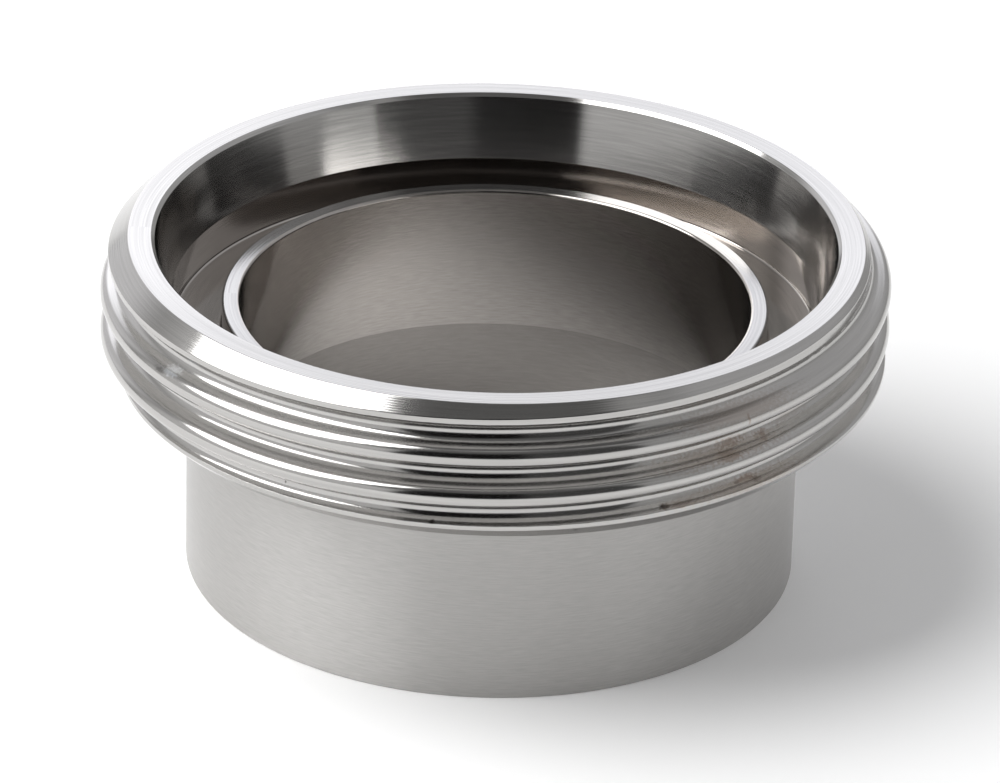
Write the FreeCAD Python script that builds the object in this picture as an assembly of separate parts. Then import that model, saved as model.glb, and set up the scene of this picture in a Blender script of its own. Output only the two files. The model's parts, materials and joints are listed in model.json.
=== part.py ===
"""Male half of a dairy pipe union, nominal size 50, made to be expanded onto its tube.

One piece, turned from stainless steel bar. A plain spigot below takes the end of
the tube in its socket. The wide collar above it carries a round thread outside.
Inside the collar a narrow lip stands round the bore, a groove round the lip holds
the seal ring, and a cone above the groove centres the mating liner.

Millimetres. Z is the axis, the origin is the middle of the spigot's end face, and
the threaded end is up.
"""
import FreeCAD, Part
import math
import os

V = FreeCAD.Vector
ORIGIN = V(0, 0, 0)
AXIS = V(0, 0, 1)

# Heights and depths along the axis
overall_length = 35.0
collar_length = 13.8
socket_depth = 12.8
groove_depth = 10.3
lip_drop = 7.0

# Tube, its socket in the spigot, and the shoulder that stops it
tube_diameter = 53.0
tube_clearance = 0.2
spigot_wall = 3.85
shoulder_width = 1.35
spigot_edge_chamfer = 0.25
socket_mouth_chamfer = 0.6
collar_root_chamfer = 0.6

# Lip round the bore
lip_wall = 1.75
lip_edge_chamfer = 0.2

# Collar outside, and the flat land round its mouth
collar_diameter = 78.0
front_chamfer = 2.7
back_chamfer = 2.2
land_width = 2.3

# Liner seat: a cone from the mouth down to the groove wall
seat_mouth_chamfer = 0.35
seat_length = 6.16
seat_half_angle = 15.0

# Round thread on the collar, six turns to the inch
thread_pitch = 25.4 / 6
thread_depth = 0.5 * thread_pitch
thread_radius = 0.23851 * thread_pitch
thread_flank_angle = 15.0
thread_crest_height = 26.04

# The round crest and root are cut as flats, each of this angle or less, and the crest
# stands this much proud of the collar, which leaves a narrow land
flat_angle = 50.0
crest_proud = 0.06
# Slit left between two turns of the cutter, outside the collar
cutter_slit = 0.1
# How far the cutter reaches past the collar, outwards and at both ends
cutter_overrun = 0.4

collar_back = overall_length - collar_length


def turned_blank():
    """The piece before threading: its half section carried round the axis."""
    top = overall_length
    lip_top = top - lip_drop
    groove_floor = top - groove_depth
    cone_top = top - seat_mouth_chamfer
    socket = (tube_diameter + tube_clearance) / 2
    spigot = socket + spigot_wall
    bore = socket - shoulder_width
    lip = bore + lip_wall
    collar = collar_diameter / 2
    seat_mouth = collar - front_chamfer - land_width
    cone_mouth = seat_mouth - seat_mouth_chamfer
    groove = cone_mouth - seat_length * math.tan(math.radians(seat_half_angle))

    corners = [
        (spigot - spigot_edge_chamfer, 0),
        (spigot, spigot_edge_chamfer),
        (spigot, collar_back - collar_root_chamfer),
        (spigot + collar_root_chamfer, collar_back),
        (collar - back_chamfer, collar_back),
        (collar, collar_back + back_chamfer),
        (collar, top - front_chamfer),
        (collar - front_chamfer, top),
        (seat_mouth, top),
        (cone_mouth, cone_top),
        (groove, cone_top - seat_length),
        (groove, groove_floor),
        (lip, groove_floor),
        (lip, lip_top - lip_edge_chamfer),
        (lip - lip_edge_chamfer, lip_top),
        (bore + lip_edge_chamfer, lip_top),
        (bore, lip_top - lip_edge_chamfer),
        (bore, socket_depth),
        (socket, socket_depth),
        (socket, socket_mouth_chamfer),
        (socket + socket_mouth_chamfer, 0),
    ]
    points = [V(radius, 0, height) for radius, height in corners]
    half_section = Part.Face(Part.makePolygon(points + points[:1]))
    return half_section.revolve(ORIGIN, AXIS, 360)


def round_points(centre, start, end):
    """Points of an arc of the thread's round, from one angle to another in degrees."""
    flats = math.ceil(abs(end - start) / flat_angle)
    points = []
    for i in range(flats + 1):
        angle = math.radians(start + (end - start) * i / flats)
        points.append(centre + V(math.cos(angle), 0, math.sin(angle)) * thread_radius)
    return points


def groove_outline():
    """Section of the thread groove, from the crest at height 0 to the next one up.

    Crests and root are round, with one radius, and straight flanks join them. The
    section stops half a slit short of each crest and runs out past the collar there.
    """
    crest_radius = collar_diameter / 2 + crest_proud - thread_radius
    root_radius = collar_diameter / 2 - thread_depth + thread_radius
    beyond_collar = collar_diameter / 2 + cutter_overrun
    lean = 90 - thread_flank_angle

    lower = round_points(V(crest_radius, 0, 0), 0, lean)
    root = round_points(V(root_radius, 0, thread_pitch / 2), 180 + lean, 180 - lean)
    upper = round_points(V(crest_radius, 0, thread_pitch), -lean, 0)
    slit_share = cutter_slit / 2 / lower[1].z
    lower[0] += (lower[1] - lower[0]) * slit_share
    upper[-1] += (upper[-2] - upper[-1]) * slit_share
    inner_side = lower + root + upper
    start = V(beyond_collar, 0, lower[0].z)
    end = V(beyond_collar, 0, upper[-1].z)
    return Part.makePolygon([start] + inner_side + [end, start])


def thread_cutter(first_crest):
    """All that threading takes off the collar: the groove's section carried up a helix.

    It starts on the +X side with its lower crest at first_crest and ends above the collar.
    """
    climb = overall_length + cutter_overrun - first_crest
    helix = Part.makeHelix(thread_pitch, climb, collar_diameter / 2)
    cutter = Part.Wire(helix.Edges).makePipeShell([groove_outline()], True, True)
    return cutter.translate(V(0, 0, first_crest))


# The cutter's first whole turn is below the collar, and a crest passes the -Y side
# at thread_crest_height once the piece is turned about its axis
first_crest = collar_back - cutter_overrun - thread_pitch
male_union = turned_blank().cut(thread_cutter(first_crest))
crest_turn = -90 - 360 * (thread_crest_height - first_crest) / thread_pitch
male_union.rotate(ORIGIN, AXIS, crest_turn)

os.makedirs("parts", exist_ok=True)
male_union.exportStep("parts/male_union.step")
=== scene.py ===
"""The looks of a dairy male union: one turned stainless steel fitting on a pale floor.

All sizes are in metres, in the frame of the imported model: Z is the axis, the floor
is at 0 and the threaded end is up.
"""
import bpy
import json
import math
import numpy as np
from mathutils import Matrix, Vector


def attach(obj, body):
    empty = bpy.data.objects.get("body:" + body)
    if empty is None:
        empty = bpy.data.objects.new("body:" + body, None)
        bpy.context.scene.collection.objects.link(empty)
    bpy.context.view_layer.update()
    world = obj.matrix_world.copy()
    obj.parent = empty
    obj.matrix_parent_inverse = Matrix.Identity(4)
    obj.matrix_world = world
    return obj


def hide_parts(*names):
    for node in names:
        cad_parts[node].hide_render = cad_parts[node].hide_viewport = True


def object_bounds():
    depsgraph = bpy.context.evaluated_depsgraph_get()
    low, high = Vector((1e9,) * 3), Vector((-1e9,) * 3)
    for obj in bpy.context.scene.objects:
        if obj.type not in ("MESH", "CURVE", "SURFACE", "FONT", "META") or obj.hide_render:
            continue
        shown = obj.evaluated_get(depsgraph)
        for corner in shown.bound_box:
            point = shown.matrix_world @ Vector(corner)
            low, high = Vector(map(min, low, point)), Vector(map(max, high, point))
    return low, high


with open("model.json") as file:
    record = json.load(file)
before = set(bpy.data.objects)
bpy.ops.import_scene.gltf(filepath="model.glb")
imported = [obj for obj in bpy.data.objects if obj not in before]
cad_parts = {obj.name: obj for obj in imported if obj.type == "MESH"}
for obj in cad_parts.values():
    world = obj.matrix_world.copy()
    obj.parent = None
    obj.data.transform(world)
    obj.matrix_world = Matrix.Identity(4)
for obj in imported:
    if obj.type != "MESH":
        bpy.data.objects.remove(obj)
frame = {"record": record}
cad_low, cad_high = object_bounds()


# The camera stands in front of the union and looks down on it through a long lens.
# Its distance, height, turn and aim are fitted to the ellipses of the mouth, the lip
# and the spigot's end, and to the crests of the thread.
image_width, image_height = 1000, 783
focal_pixels = 7062.0
camera_distance = 0.7109
camera_elevation = math.radians(28.227)
camera_roll = -0.0260
origin_pixel = (492.89, 549.71)

pitch_down = math.atan2(origin_pixel[1] - image_height / 2, focal_pixels)
turn_left = math.atan2(origin_pixel[0] - image_width / 2, focal_pixels)
level_view = Matrix((
    (1, 0, 0),
    (0, math.sin(camera_elevation), math.cos(camera_elevation)),
    (0, math.cos(camera_elevation), -math.sin(camera_elevation)),
))
pitched = Matrix.Rotation(pitch_down, 3, "X")
turned = Matrix.Rotation(turn_left, 3, "Y")
rolled = Matrix.Rotation(camera_roll, 3, "Z")
right, up, forward = rolled @ turned @ pitched @ level_view

camera_data = bpy.data.cameras.new("camera")
camera_data.sensor_width = 36.0
camera_data.lens = camera_data.sensor_width * focal_pixels / image_width
camera_data.clip_start = 0.05
camera_data.clip_end = 20.0
camera = bpy.data.objects.new("camera", camera_data)
bpy.context.scene.collection.objects.link(camera)
camera_axes = Matrix((right, up, -forward)).transposed()
camera_place = Matrix.Translation((
    0,
    -camera_distance * math.cos(camera_elevation),
    camera_distance * math.sin(camera_elevation),
))
camera.matrix_world = camera_place @ camera_axes.to_4x4()
bpy.context.scene.camera = camera
bpy.context.scene.view_settings.view_transform = "Standard"


# The union is one piece, turned from stainless steel bar and threaded on the lathe.
# Its outline goes up the spigot and the collar, over the land and down through the
# cone, the groove, the lip and the bore. Some of its sizes come from the model's box and
# mounts, and the others are given below.
mounts = {mount["name"]: mount for mount in frame["record"]["mounts"]}
mount_radius = {name: mount["dims"].get("r_mm", 0) / 1000 for name, mount in mounts.items()}
mount_length = {name: mount["dims"].get("length_mm", 0) / 1000 for name, mount in mounts.items()}

top = cad_high[2]
collar = cad_high[0]
collar_back = top - mount_length["nut_thread"]
back_chamfer = 0.0022
front_chamfer = 0.0027
land_width = 0.0023

spigot = 0.03045
socket = mount_radius["tube_socket"]
socket_step = 0.0128
socket_chamfer = 0.0006

bore = mount_radius["bore"]
lip_wall = 0.00175
lip = bore + lip_wall
groove = mount_radius["seal_groove"]
groove_floor = mounts["seal_groove"]["pos_m"][2]
lip_top = groove_floor + mount_length["seal_groove"]

seat_mouth = collar - front_chamfer - land_width
mouth_chamfer = 0.00035
cone_mouth = mount_radius["liner_seat"]
cone_top = top - mouth_chamfer
cone_length = 0.00616
cone_bottom = cone_top - cone_length

thread_pitch = 0.0254 / 6
thread_round = 0.23851 * thread_pitch
thread_depth = 0.5 * thread_pitch
flank_angle = math.radians(15)
crest_height = 0.02604
back_break = 0.00034
front_break = 0.00044
gentle_slope = 1.5
edge_softness = 0.00002

# Roundings of the other edges and of the inner corners
spigot_edge = 0.0002
collar_root = 0.0006
collar_edge = 0.00012
land_edge = 0.00015
fine_edge = 0.0001
groove_corner = 0.0003
lip_edge = 0.00025
bore_edge = 0.0003
step_edge = 0.00005
step_corner = 0.0002

# Points of the mesh round the axis, and along the collar, with more of them in the
# fine zone at each end, where the chamfers cut the thread
points_around = 360
collar_rows = 204
collar_samples = 1800
flank_samples = 300
fine_zone = 0.0028
fine_share = 3
degrees_per_row = 23

SPIGOT, THREAD, CHAMFER, FACE, SEAT, GROOVE, LIP, BORE, SOCKET = range(9)


def thread_section(offset):
    """Radius of the full thread at an offset from its crest, and how steeply it falls there.

    Round crest and round root have one radius, and a straight flank at the flank
    angle touches both. The offset runs from 0, the crest, to half a pitch, the root.
    """
    from_root = thread_pitch / 2 - offset
    reach = thread_round * math.cos(flank_angle)
    steepness = 1 / math.tan(flank_angle)
    on_crest = np.sqrt(thread_round ** 2 - np.minimum(offset, reach) ** 2)
    on_root = np.sqrt(thread_round ** 2 - np.minimum(from_root, reach) ** 2)
    crest = collar - thread_round + on_crest
    root = collar - thread_depth + thread_round - on_root
    flank = crest - (offset - reach) * steepness
    by_root = np.where(from_root < reach, root, flank)
    slope_by_root = np.where(from_root < reach, from_root / on_root, steepness)
    radius = np.where(offset < reach, crest, by_root)
    return radius, np.where(offset < reach, offset / on_crest, slope_by_root)


def edge_band(crest, chamfer, drop):
    """Radius of the band that breaks the sharp edge between a chamfer and a falling flank.

    Heights count from the collar's end, and crest is that of the nearest crest. The
    chamfer and the flank share a radius where they meet, so each offset on the flank
    gives a crest height, read here the other way round. The band is lower than the
    edge by the drop, or by less where the flank is gentle.
    """
    offset = np.linspace(0, thread_pitch / 2, flank_samples)
    flank, slope = thread_section(offset)
    band = np.maximum(flank - drop * np.minimum(slope / gentle_slope, 1), collar - thread_depth)
    crest_there = flank - collar + chamfer - offset
    return np.interp(crest, crest_there[::-1], band[::-1], left=np.inf, right=np.inf)


def collar_radius(angle, height):
    """Radius of the collar's outside: the least of the thread, two chamfers and two bands.

    A crest passes the front, at -90 degrees, at crest_height, and is one pitch higher
    after each turn. The least is softened a little by adding exponentials.
    """
    climb = crest_height + thread_pitch * (angle + math.pi / 2) / (2 * math.pi)
    offset = (height - climb + thread_pitch / 2) % thread_pitch - thread_pitch / 2
    crest = height - offset
    surfaces = np.stack(np.broadcast_arrays(
        thread_section(np.abs(offset))[0],
        collar - back_chamfer + height - collar_back,
        collar - front_chamfer + top - height,
        edge_band(crest - collar_back, back_chamfer, back_break),
        edge_band(top - crest, front_chamfer, front_break),
    ))
    least = surfaces.min(axis=0)
    return least - edge_softness * np.log(np.exp((least - surfaces) / edge_softness).sum(axis=0))


def rounded_outline(corners):
    """Rows of an outline through corners (radius, height, rounding, finish of what follows).

    Each corner becomes an arc that touches its two sides. A row is a radius, a height
    and the outward normal's two parts, and the normal turns evenly along the arc.
    """
    rows = []
    finishes = []
    for i in range(1, len(corners) - 1):
        radius, height, rounding, finish = corners[i]
        here = np.array((radius, height))
        ahead = np.array(corners[i + 1][:2]) - here
        behind = here - np.array(corners[i - 1][:2])
        angle_in = math.atan2(behind[1], behind[0])
        turn = (math.atan2(ahead[1], ahead[0]) - angle_in + math.pi) % (2 * math.pi) - math.pi
        start = here - behind / np.hypot(*behind) * rounding * math.tan(abs(turn) / 2)
        steps = math.ceil(abs(math.degrees(turn)) / degrees_per_row) + 1
        normal_angle = angle_in - math.pi / 2 + turn * np.linspace(0, 1, steps)
        normal = np.stack([np.cos(normal_angle), np.sin(normal_angle)], axis=1)
        points = start + math.copysign(rounding, turn) * (normal - normal[0])
        rows.append(np.hstack([points, normal]))
        finishes += [finish] * steps
    return np.vstack(rows), finishes


below_collar, below_finish = rounded_outline([
    (socket + socket_chamfer, 0, 0, SPIGOT),
    (spigot, 0, spigot_edge, SPIGOT),
    (spigot, collar_back, collar_root, SPIGOT),
    (collar - back_chamfer, collar_back, collar_edge, THREAD),
    (collar, collar_back + back_chamfer, 0, THREAD),
])
above_collar, above_finish = rounded_outline([
    (collar, top - front_chamfer, 0, CHAMFER),
    (collar - front_chamfer, top, land_edge, FACE),
    (seat_mouth, top, fine_edge, SEAT),
    (cone_mouth, cone_top, fine_edge, SEAT),
    (groove, cone_bottom, groove_corner, GROOVE),
    (groove, groove_floor, groove_corner, GROOVE),
    (lip, groove_floor, groove_corner, GROOVE),
    (lip, lip_top, lip_edge, LIP),
    (bore, lip_top, bore_edge, BORE),
    (bore, socket_step, step_edge, SOCKET),
    (socket, socket_step, step_corner, SOCKET),
    (socket, socket_chamfer, fine_edge, SOCKET),
    (socket + socket_chamfer, 0, fine_edge, SPIGOT),
    (spigot, 0, 0, SPIGOT),
])

# The collar's rows divide its outline by length at every angle, and lie closer
# together in the fine zones. Each column's lengths start past the end of the last
# column's, so that one interpolation serves them all.
angle = np.arange(points_around) * 2 * math.pi / points_around
low, high = below_collar[-1, 1], above_collar[0, 1]
sample_height = np.linspace(low, high, collar_samples)[None, :]
sample_radius = collar_radius(angle[:, None], sample_height)
step_length = np.hypot(np.diff(sample_radius, axis=1), np.diff(sample_height, axis=1))
from_ends = np.minimum(sample_height - low, high - sample_height)[:, 1:]
step_length *= np.where(from_ends < fine_zone, fine_share, 1)
length = np.hstack([np.zeros((points_around, 1)), np.cumsum(step_length, axis=1)])
share = np.linspace(0, 1, collar_rows + 2)[1:-1]
column_start = (np.arange(points_around) * 2 * length.max())[:, None]
wanted = length[:, -1:] * share + column_start
every_height = np.broadcast_to(sample_height, sample_radius.shape)
collar_height = np.interp(wanted.ravel(), (length + column_start).ravel(), every_height.ravel())
collar_height = collar_height.reshape(points_around, collar_rows).T
collar_outside = collar_radius(angle, collar_height)

# The collar's normals come from the slopes of its radius, along the axis and round it
small_height = 0.000004
small_angle = 0.0001
along = collar_radius(angle, collar_height + small_height)
along = (along - collar_radius(angle, collar_height - small_height)) / (2 * small_height)
around = collar_radius(angle + small_angle, collar_height)
around = (around - collar_radius(angle - small_angle, collar_height)) / (2 * small_angle)
steep = np.sqrt(1 + along ** 2 + (around / collar_outside) ** 2)


def all_round(column):
    """The same value at every angle, for rows that have no thread."""
    return np.repeat(np.asarray(column)[:, None], points_around, axis=1)


radius = np.vstack([all_round(below_collar[:, 0]), collar_outside, all_round(above_collar[:, 0])])
height = np.vstack([all_round(below_collar[:, 1]), collar_height, all_round(above_collar[:, 1])])
outward = np.vstack([all_round(below_collar[:, 2]), 1 / steep, all_round(above_collar[:, 2])])
sideways = np.vstack([
    all_round(np.zeros(len(below_collar))),
    -around / collar_outside / steep,
    all_round(np.zeros(len(above_collar))),
])
upward = np.vstack([all_round(below_collar[:, 3]), -along / steep, all_round(above_collar[:, 3])])
on_chamfer = collar_outside > collar - front_chamfer + top - collar_height - 2 * edge_softness
finish = np.vstack([
    all_round(below_finish),
    np.where(on_chamfer, CHAMFER, THREAD),
    all_round(above_finish),
])

cosine, sine = np.cos(angle), np.sin(angle)
points = np.stack([radius * cosine, radius * sine, height], axis=-1).reshape(-1, 3)
normals = np.stack([
    outward * cosine - sideways * sine,
    outward * sine + sideways * cosine,
    upward,
], axis=-1).reshape(-1, 3)
index = np.arange(radius.size).reshape(radius.shape)
next_round = np.roll(index, -1, axis=1)
next_row = np.roll(index, -1, axis=0)
next_both = np.roll(next_row, -1, axis=1)
quads = np.stack([index, next_round, next_both, next_row], axis=-1).reshape(-1, 4)

union_mesh = bpy.data.meshes.new("union_body")
union_mesh.vertices.add(len(points))
union_mesh.vertices.foreach_set("co", points.ravel())
union_mesh.loops.add(quads.size)
union_mesh.loops.foreach_set("vertex_index", quads.ravel())
union_mesh.polygons.add(len(quads))
union_mesh.polygons.foreach_set("loop_start", np.arange(len(quads)) * 4)
union_mesh.polygons.foreach_set("material_index", finish.ravel())
union_mesh.update(calc_edges=True)
union_mesh.validate()
union_mesh.shade_smooth()
union_mesh.normals_split_custom_set_from_vertices(normals.tolist())
union = bpy.data.objects.new("union_body", union_mesh)
bpy.context.scene.collection.objects.link(union)
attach(union, "root")
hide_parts("male_union")


def calculate(tree, operation, *values):
    """One Math node on sockets or numbers, and its result."""
    step = tree.nodes.new("ShaderNodeMath")
    step.operation = operation
    for socket, value in zip(step.inputs, values):
        if isinstance(value, (int, float)):
            socket.default_value = value
        else:
            tree.links.new(value, socket)
    return step.outputs[0]


def length_of(tree, vector):
    """Length of a vector socket."""
    measure = tree.nodes.new("ShaderNodeVectorMath")
    measure.operation = "LENGTH"
    tree.links.new(vector, measure.inputs[0])
    return measure.outputs["Value"]


def split(tree, vector):
    """The three parts of a vector or colour socket, by X, Y and Z."""
    parts = tree.nodes.new("ShaderNodeSeparateXYZ")
    tree.links.new(vector, parts.inputs[0])
    return parts.outputs


def ramp(tree, value, start, end, first=0.0, last=1.0, smooth=False):
    """First where the value is at start, last where it is at end, and even or smooth between."""
    step = tree.nodes.new("ShaderNodeMapRange")
    step.interpolation_type = "SMOOTHSTEP" if smooth else "LINEAR"
    step.inputs["From Min"].default_value = start
    step.inputs["From Max"].default_value = end
    step.inputs["To Min"].default_value = first
    step.inputs["To Max"].default_value = last
    tree.links.new(value, step.inputs["Value"])
    return step.outputs[0]


def blend(tree, share, under, over):
    """Two colours mixed by the share of the second, each a socket or three numbers."""
    mix = tree.nodes.new("ShaderNodeMix")
    mix.data_type = "RGBA"
    tree.links.new(share, mix.inputs["Factor"])
    for name, colour in (("A", under), ("B", over)):
        if isinstance(colour, tuple):
            mix.inputs[name].default_value = (*colour, 1)
        else:
            tree.links.new(colour, mix.inputs[name])
    return mix.outputs["Result"]


def noise(tree, vector, scale, detail=2.0, roughness=0.5):
    """Noise read at a vector socket, mostly from noise_low to noise_high."""
    texture = tree.nodes.new("ShaderNodeTexNoise")
    texture.inputs["Scale"].default_value = scale
    texture.inputs["Detail"].default_value = detail
    texture.inputs["Roughness"].default_value = roughness
    tree.links.new(vector, texture.inputs["Vector"])
    return texture.outputs[0]


noise_low, noise_high = 0.3, 0.7
steel = (0.480, 0.471, 0.459)
# The three colours below are darker copies of the steel, and their darkness is painted shade: the
# lip a little, the groove wall and the bore more and warmer, the socket most.
shaded_lip_steel = (0.405, 0.399, 0.393)
shaded_warm_steel = (0.438, 0.413, 0.391)
shaded_socket_steel = (0.365, 0.345, 0.327)
pit_colour = (0.12, 0.11, 0.10)
pit_cells_per_metre = 330
pitted_share = 0.2
widest_pit_share = 0.04
gloss_change = 0.08
quarter_turn = 0.25


def turned_steel(
    name, colour, roughness, anisotropy, grain, winding, depth, contrast,
    feed=0.0003, feed_depth=0.0, lean=0.0,
):
    """Stainless steel with the tool's rings on it, brighter or duller by its finish.

    The tool's marks are noise read at the point's radius and height, grain to the metre,
    and drawn out along the turning direction, the more so the less the winding. They have
    a depth, and lighten and darken the steel by the contrast. Along the height less the
    radius, the tool's feed adds even waves and the lean an even slope, which tilts what
    the steel mirrors. A few pits lie all over. A colour darker than the steel, as on the
    lip, the groove wall, the bore and the socket, is painted shade.
    """
    material = bpy.data.materials.new(name)
    material.use_nodes = True
    tree = material.node_tree
    shader = tree.nodes["Principled BSDF"]
    shader.inputs["Metallic"].default_value = 1.0
    shader.inputs["Anisotropic"].default_value = anisotropy
    shader.inputs["Anisotropic Rotation"].default_value = quarter_turn

    place = tree.nodes.new("ShaderNodeTexCoord").outputs["Object"]
    parts = split(tree, place)
    flat = tree.nodes.new("ShaderNodeCombineXYZ")
    tree.links.new(parts["X"], flat.inputs["X"])
    tree.links.new(parts["Y"], flat.inputs["Y"])
    reach = length_of(tree, flat.outputs[0])
    heading = calculate(tree, "ARCTAN2", parts["Y"], parts["X"])
    section = tree.nodes.new("ShaderNodeCombineXYZ")
    tree.links.new(reach, section.inputs["X"])
    tree.links.new(parts["Z"], section.inputs["Y"])
    tree.links.new(calculate(tree, "MULTIPLY", heading, winding), section.inputs["Z"])

    rings = noise(tree, section.outputs[0], grain, detail=4.0, roughness=0.6)
    along_section = calculate(tree, "SUBTRACT", parts["Z"], reach)
    wave = calculate(tree, "SINE", calculate(tree, "MULTIPLY", along_section, 2 * math.pi / feed))
    marks = calculate(tree, "MULTIPLY", rings, depth)
    marks = calculate(tree, "MULTIPLY_ADD", along_section, -lean, marks)
    bump = tree.nodes.new("ShaderNodeBump")
    bump.inputs["Strength"].default_value = 1.0
    bump.inputs["Distance"].default_value = 1.0
    tree.links.new(calculate(tree, "MULTIPLY_ADD", wave, feed_depth, marks), bump.inputs["Height"])
    tree.links.new(bump.outputs[0], shader.inputs["Normal"])

    darker = tuple(part * (1 - contrast) for part in colour)
    lighter = tuple(part * (1 + contrast) for part in colour)
    shade = blend(tree, ramp(tree, rings, noise_low, noise_high), darker, lighter)
    cells = tree.nodes.new("ShaderNodeTexVoronoi")
    cells.inputs["Scale"].default_value = pit_cells_per_metre
    tree.links.new(place, cells.inputs["Vector"])
    lot = split(tree, cells.outputs["Color"])
    few = calculate(tree, "GREATER_THAN", lot["X"], 1 - pitted_share)
    pit_radius = calculate(tree, "MULTIPLY", lot["Y"], widest_pit_share)
    small = calculate(tree, "LESS_THAN", cells.outputs["Distance"], pit_radius)
    pitted = blend(tree, calculate(tree, "MULTIPLY", few, small), shade, pit_colour)
    tree.links.new(pitted, shader.inputs["Base Color"])

    glossiest = roughness * (1 - gloss_change)
    dullest = roughness * (1 + gloss_change)
    gloss = ramp(tree, rings, noise_low, noise_high, glossiest, dullest)
    tree.links.new(gloss, shader.inputs["Roughness"])

    along_turning = tree.nodes.new("ShaderNodeTangent")
    along_turning.direction_type = "RADIAL"
    along_turning.axis = "Z"
    tree.links.new(along_turning.outputs[0], shader.inputs["Tangent"])
    return material


for finish_of_zone in (
    turned_steel(
        "satin_spigot", steel, roughness=0.36, anisotropy=0.9,
        grain=7000, winding=0.0022, depth=1.6e-6, contrast=0.09),
    turned_steel(
        "bright_thread", steel, roughness=0.14, anisotropy=0.8,
        grain=4200, winding=0.0006, depth=1.6e-6, contrast=0.07),
    turned_steel(
        "turned_chamfer", steel, roughness=0.14, anisotropy=0.8,
        grain=4200, winding=0.0006, depth=1.2e-6, contrast=0.07, feed=0.00034, feed_depth=0.9e-6),
    turned_steel(
        "faced_rings", steel, roughness=0.15, anisotropy=0.8,
        grain=5000, winding=0.0003, depth=1.2e-6, contrast=0.13, feed_depth=0.6e-6),
    turned_steel(
        "turned_seat", steel, roughness=0.125, anisotropy=0.9,
        grain=4600, winding=0.0012, depth=1.2e-6, contrast=0.12, lean=0.038),
    # The groove wall's darker, warmer colour is painted shade.
    turned_steel(
        "groove_wall", shaded_warm_steel, roughness=0.10, anisotropy=0.9,
        grain=4600, winding=0.0012, depth=1.0e-6, contrast=0.10),
    # The lip's darker colour is painted shade.
    turned_steel(
        "turned_lip", shaded_lip_steel, roughness=0.15, anisotropy=0.8,
        grain=5000, winding=0.0003, depth=1.2e-6, contrast=0.13, feed_depth=0.6e-6),
    # The bore's darker, warmer colour is painted shade.
    turned_steel(
        "dull_bore", shaded_warm_steel, roughness=0.145, anisotropy=0.9,
        grain=6500, winding=0.0025, depth=1.0e-6, contrast=0.13),
    # The socket's darkest colour is painted shade.
    turned_steel(
        "tube_socket", shaded_socket_steel, roughness=0.22, anisotropy=0.9,
        grain=5200, winding=0.0035, depth=1.6e-6, contrast=0.10),
):
    union_mesh.materials.append(finish_of_zone)


# Handling and damp have left marks on the thread: brown stains in the roots at the
# right, dark spots and small nicks. One pale dot at the left is a painted highlight, the
# glint of a dent. Each has an azimuth, a height, a size round the collar and along it,
# in degrees and mm, a strength and a colour.
stain_brown = (0.215, 0.135, 0.085)
stain_faint = (0.330, 0.270, 0.225)
spot_dark = (0.030, 0.024, 0.020)
# A painted highlight: this pale colour stands in for the glint of a dent.
painted_glint_colour = (0.800, 0.820, 0.840)
marks_and_glint_on_thread = (
    (-64.0, 23.28, 0.9, 0.15, 0.90, spot_dark),
    (-61.5, 23.25, 3.2, 0.22, 0.40, stain_brown),
    (-52.3, 28.12, 2.8, 0.50, 0.60, stain_brown),
    (-53.8, 27.40, 2.4, 0.50, 0.50, stain_brown),
    (-55.0, 27.75, 15.0, 0.90, 0.50, stain_faint),
    (-46.5, 27.90, 1.6, 0.40, 0.45, stain_brown),
    (-49.2, 23.68, 2.2, 0.32, 0.65, stain_brown),
    (-47.7, 23.45, 0.9, 0.16, 0.60, spot_dark),
    (-51.0, 23.50, 0.6, 0.14, 0.50, spot_dark),
    (-50.0, 23.45, 15.0, 0.70, 0.50, stain_faint),
    (-52.5, 31.70, 13.0, 0.90, 0.45, stain_faint),
    (-40.0, 28.30, 6.0, 0.50, 0.30, stain_faint),
    (-51.2, 31.10, 0.3, 0.50, 0.45, stain_brown),
    (-121.9, 23.53, 0.2, 0.22, 0.90, spot_dark),
    (-98.3, 22.83, 0.4, 0.14, 0.90, spot_dark),
    (-77.6, 22.13, 0.4, 0.20, 0.60, spot_dark),
    (-145.8, 30.30, 1.6, 0.22, 0.50, spot_dark),
    # The bright dent: a painted highlight, not a colour of the steel.
    (-143.6, 30.62, 1.9, 0.34, 1.00, painted_glint_colour),
)
ragged_grain = 3500
raggedness = 1.4
mark_full, mark_gone = 1.0, 1.9

tree = union_mesh.materials[THREAD].node_tree
shader = tree.nodes["Principled BSDF"]
place = tree.nodes.new("ShaderNodeTexCoord").outputs["Object"]
ragged = noise(tree, place, ragged_grain)
for azimuth, mark_height, across, along_axis, strength, tint in marks_and_glint_on_thread:
    mark_angle = math.radians(azimuth)
    centred = tree.nodes.new("ShaderNodeMapping")
    centred.vector_type = "TEXTURE"
    centred.inputs["Location"].default_value = (
        collar * math.cos(mark_angle), collar * math.sin(mark_angle), mark_height / 1000)
    centred.inputs["Rotation"].default_value = (0, 0, mark_angle)
    centred.inputs["Scale"].default_value = (
        2 * thread_depth, collar * math.radians(across), along_axis / 1000)
    tree.links.new(place, centred.inputs["Vector"])
    distance = length_of(tree, centred.outputs[0])
    uneven = calculate(tree, "MULTIPLY_ADD", ragged, raggedness, distance)
    inside = ramp(tree, uneven, mark_gone, mark_full, 0.0, strength, smooth=True)
    under = shader.inputs["Base Color"].links[0].from_socket
    tree.links.new(blend(tree, inside, under, tint), shader.inputs["Base Color"])


# The floor is a wide disc of pale paint that keeps the union's shadow. Seen or mirrored,
# it is a little whiter than the lamps make it, but not inside the spigot.
floor_rings = (0.02, 0.2, 0.8, 2.7)
floor_points_around = 96
floor_paint_share = 0.9
floor_white_share = 0.12
under_wall = (socket + spigot) / 2

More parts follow.
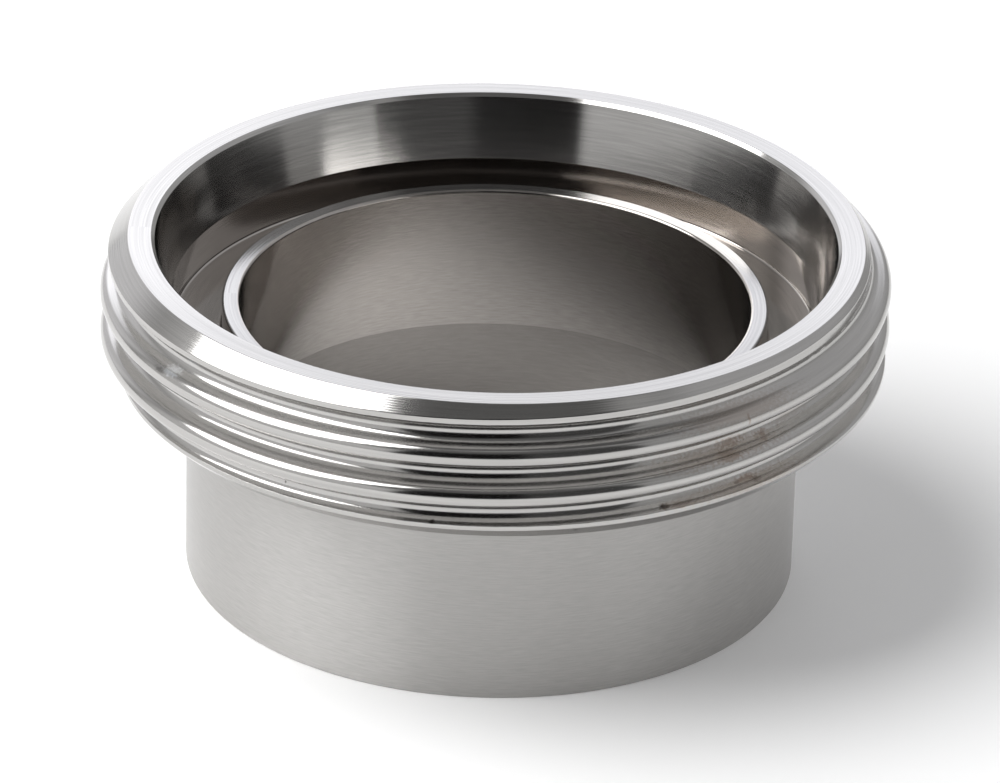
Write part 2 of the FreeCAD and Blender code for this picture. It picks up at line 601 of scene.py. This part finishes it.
floor_angle = np.arange(floor_points_around) * 2 * math.pi / floor_points_around
floor_radius = np.array(floor_rings)[:, None]
floor_points = np.stack(np.broadcast_arrays(
    floor_radius * np.cos(floor_angle),
    floor_radius * np.sin(floor_angle),
    0.0,
), axis=-1).reshape(-1, 3)
ring = np.arange(len(floor_points)).reshape(len(floor_rings), floor_points_around)
ring_next = np.roll(ring, -1, axis=1)
floor_faces = np.stack([ring[:-1], ring[1:], ring_next[1:], ring_next[:-1]], axis=-1).reshape(-1, 4)
floor_mesh = bpy.data.meshes.new("floor")
floor_mesh.from_pydata(floor_points, [], floor_faces.tolist() + [ring[0].tolist()])
floor = bpy.data.objects.new("floor", floor_mesh)
bpy.context.scene.collection.objects.link(floor)

floor_paint = bpy.data.materials.new("pale_floor")
floor_paint.use_nodes = True
tree = floor_paint.node_tree
tree.nodes.clear()
paint = tree.nodes.new("ShaderNodeBsdfDiffuse")
paint.inputs["Color"].default_value = (floor_paint_share, floor_paint_share, floor_paint_share, 1)
seen = tree.nodes.new("ShaderNodeLightPath").outputs
seen_or_mirrored = calculate(tree, "MAXIMUM", seen["Is Camera Ray"], seen["Is Glossy Ray"])
any_look = calculate(tree, "MAXIMUM", seen_or_mirrored, seen["Is Transmission Ray"])
away = length_of(tree, tree.nodes.new("ShaderNodeTexCoord").outputs["Object"])
outside = calculate(tree, "GREATER_THAN", away, under_wall)
seen_outside = calculate(tree, "MULTIPLY", any_look, outside)
white = tree.nodes.new("ShaderNodeEmission")
glow = calculate(tree, "MULTIPLY", seen_outside, floor_white_share)
tree.links.new(glow, white.inputs["Strength"])
paint_and_white = tree.nodes.new("ShaderNodeAddShader")
tree.links.new(paint.outputs[0], paint_and_white.inputs[0])
tree.links.new(white.outputs[0], paint_and_white.inputs[1])
surface = tree.nodes.new("ShaderNodeOutputMaterial")
tree.links.new(paint_and_white.outputs[0], surface.inputs["Surface"])
floor_mesh.materials.append(floor_paint)


# One large oval softbox leans over the union from the left, a little to the front. It
# gives the white bands on the thread, the chamfers and the lip.
softbox_direction = np.array((-0.609, -0.059, 0.793))
softbox_across = np.array((-0.570, 0.744, -0.347))
softbox_distance = 1.1
softbox_width = 0.87 * softbox_distance
softbox_height = 1.08 * softbox_distance
softbox_radiance = 5.1

softbox_data = bpy.data.lights.new("softbox", "AREA")
softbox_data.shape = "ELLIPSE"
softbox_data.size = softbox_width
softbox_data.size_y = softbox_height
softbox_data.energy = math.pi ** 2 / 4 * softbox_width * softbox_height * softbox_radiance
softbox = bpy.data.objects.new("softbox", softbox_data)
bpy.context.scene.collection.objects.link(softbox)
toward = softbox_direction / np.linalg.norm(softbox_direction)
upright = np.cross(toward, softbox_across)
upright /= np.linalg.norm(upright)
softbox_axes = Matrix((np.cross(upright, toward), upright, toward)).transposed()
softbox.matrix_world = Matrix.Translation(toward * softbox_distance) @ softbox_axes.to_4x4()


# The room round the table is grey, with a paler wall to the left, a dark ceiling, a
# broad lit backdrop behind the union and dark cards round the camera. Each has a light,
# the middle and the width of its azimuths, two heights and a soft edge, in degrees.
room_grey = (0.45, 0.45, 0.45)
cards = (
    ((0.72, 0.72, 0.72), -160, 90, -10, 40, 8),
    ((0.12, 0.12, 0.12), 90, 220, 50, 88, 8),
    ((0.16, 0.16, 0.16), -90, 100, 40, 80, 6),
    ((0.55, 0.55, 0.56), 28, 92, 14, 62, 10),
    ((0.90, 0.90, 0.92), 122, 44, -20, 30, 8),
    ((1.68, 1.70, 1.80), 91, 34, -20, 30, 4),
    ((2.20, 2.22, 2.32), 101, 16, -20, 29, 6),
    ((0.08, 0.08, 0.08), -82.5, 69, -8, 54, 1.5),
    ((0.012, 0.012, 0.012), -99, 36, -8, 54, 4),
)

world = bpy.data.worlds.new("studio")
bpy.context.scene.world = world
world.use_nodes = True
tree = world.node_tree
tree.nodes.clear()
direction = tree.nodes.new("ShaderNodeTexCoord").outputs["Generated"]
room = room_grey
for light, azimuth, width, lowest, highest, edge in cards:
    faced = tree.nodes.new("ShaderNodeVectorRotate")
    faced.rotation_type = "Z_AXIS"
    faced.inputs["Angle"].default_value = -math.radians(azimuth)
    tree.links.new(direction, faced.inputs["Vector"])
    parts = split(tree, faced.outputs[0])
    bearing = calculate(tree, "ARCTAN2", parts["Y"], parts["X"])
    bearing = calculate(tree, "DEGREES", calculate(tree, "ABSOLUTE", bearing))
    rise = calculate(tree, "DEGREES", calculate(tree, "ARCSINE", parts["Z"]))
    rise = calculate(tree, "ABSOLUTE", calculate(tree, "SUBTRACT", rise, (lowest + highest) / 2))
    half_width, half_height = width / 2, (highest - lowest) / 2
    in_width = ramp(tree, bearing, half_width + edge, half_width - edge, smooth=True)
    in_height = ramp(tree, rise, half_height + edge, half_height - edge, smooth=True)
    room = blend(tree, calculate(tree, "MULTIPLY", in_width, in_height), room, light)
background = tree.nodes.new("ShaderNodeBackground")
tree.links.new(room, background.inputs["Color"])
world_output = tree.nodes.new("ShaderNodeOutputWorld")
tree.links.new(background.outputs[0], world_output.inputs["Surface"])
